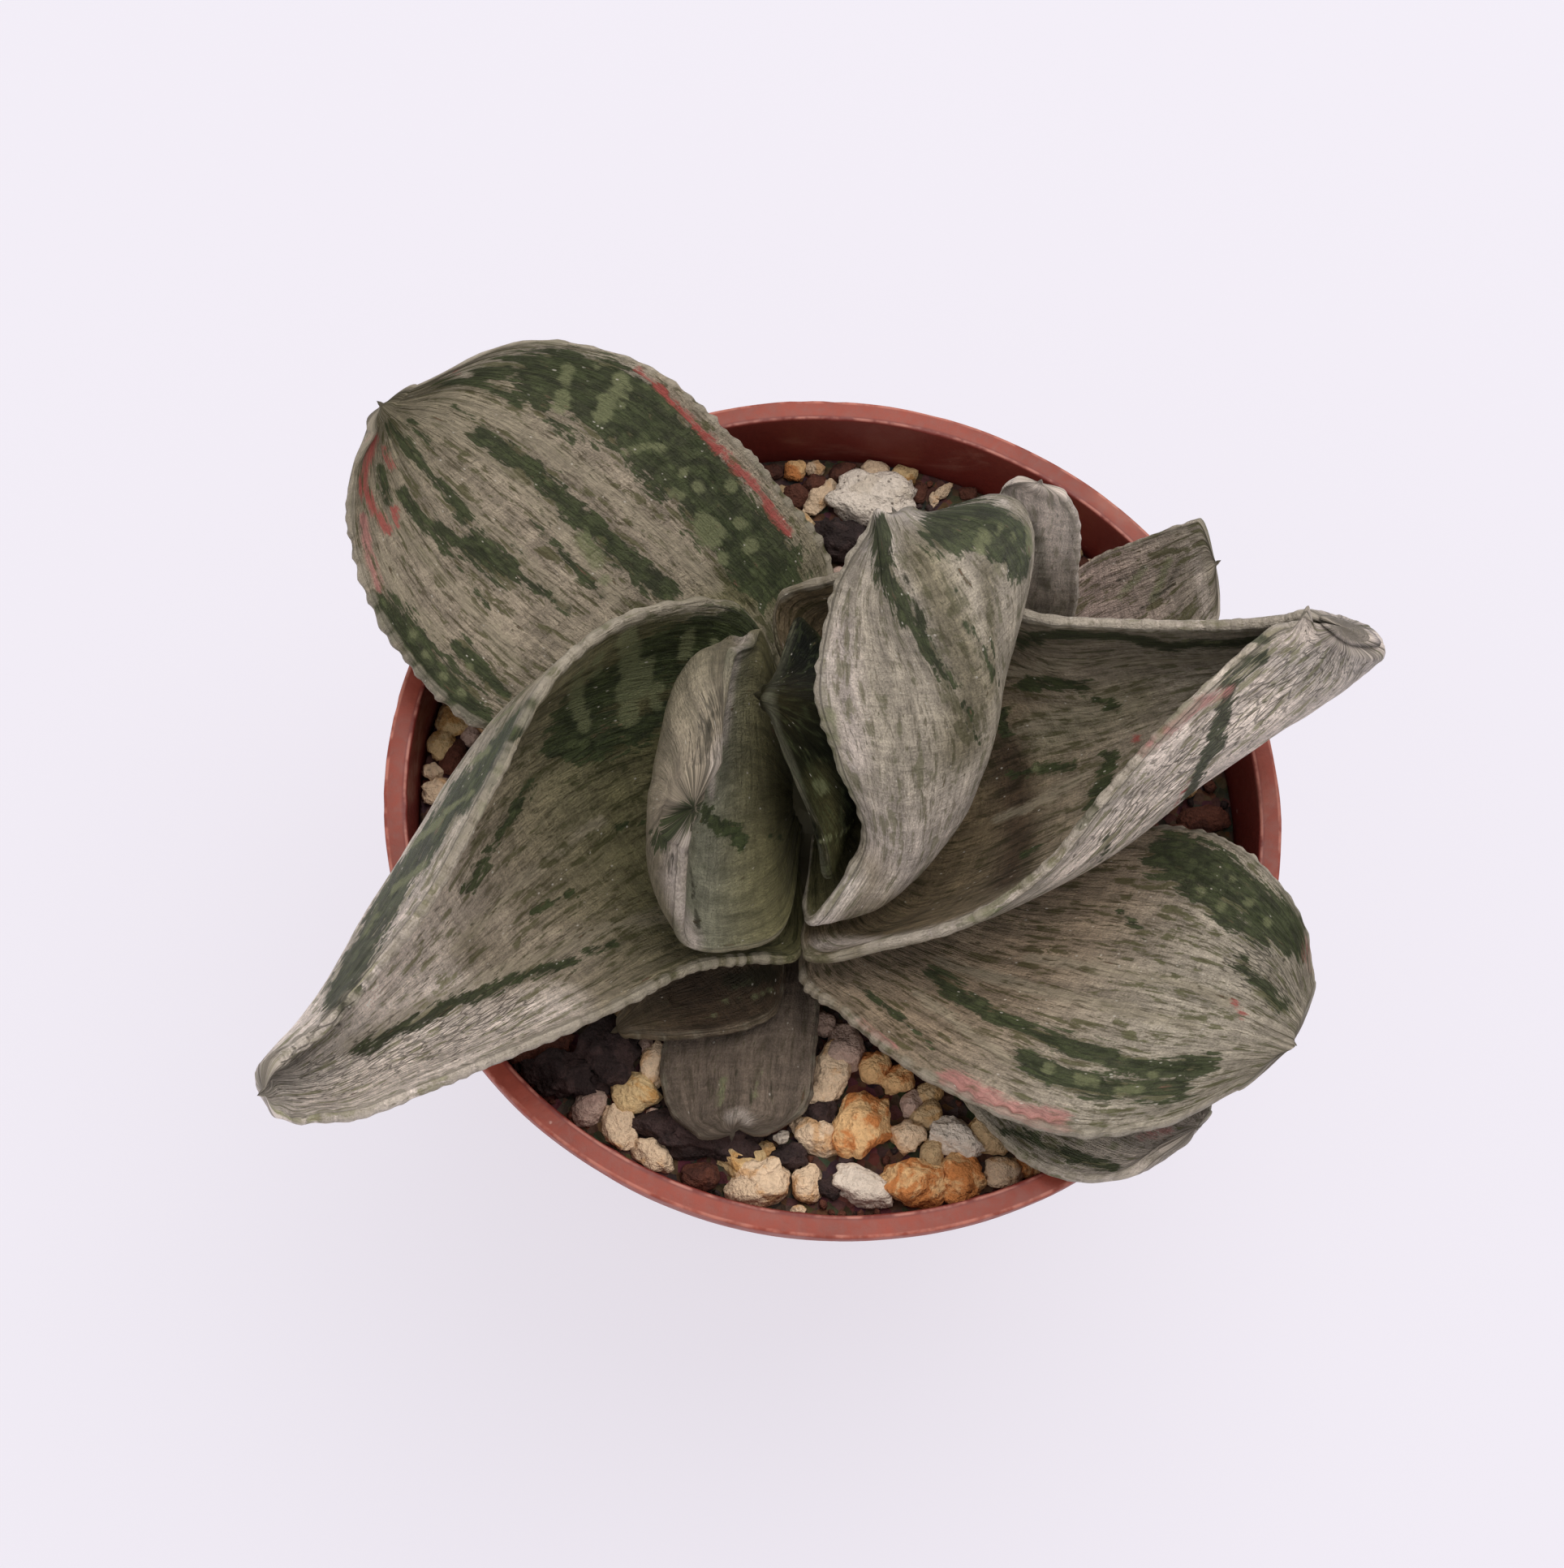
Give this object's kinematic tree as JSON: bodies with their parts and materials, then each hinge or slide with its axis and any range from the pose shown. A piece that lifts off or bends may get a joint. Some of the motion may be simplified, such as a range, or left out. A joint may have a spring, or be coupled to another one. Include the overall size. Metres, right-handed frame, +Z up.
{
  "type": "potted gasteria",
  "caption": "Small succulent with a spiral of thick, warty-edged, mottled grey-green leaves, in a round tapered plastic pot filled with stony substrate; it stands on its flat base.",
  "frame": {"origin": "middle of the pot's base, on the plane that it stands on", "axes": "+Z up; +X to the side that the longest leaf on the right points to, right in the picture; -Y to the front"},
  "size_m": [0.1001, 0.085, 0.0941],
  "materials": {
    "pot": "satin",
    "substrate": "matte",
    "stem": "matte",
    "leaf": "satin"
  },
  "bodies": {
    "root": {"pot": "pot", "substrate": "substrate", "stem": "stem", "leaf_left": "leaf", "leaf_right": "leaf", "leaf_back_left": "leaf", "leaf_front_right": "leaf", "leaf_center_right": "leaf", "leaf_center_left": "leaf", "leaf_heart": "leaf", "leaf_under_right": "leaf", "leaf_front_left": "leaf", "leaf_front": "leaf", "leaf_back_right": "leaf", "leaf_back": "leaf"}
  },
  "joints": []
}
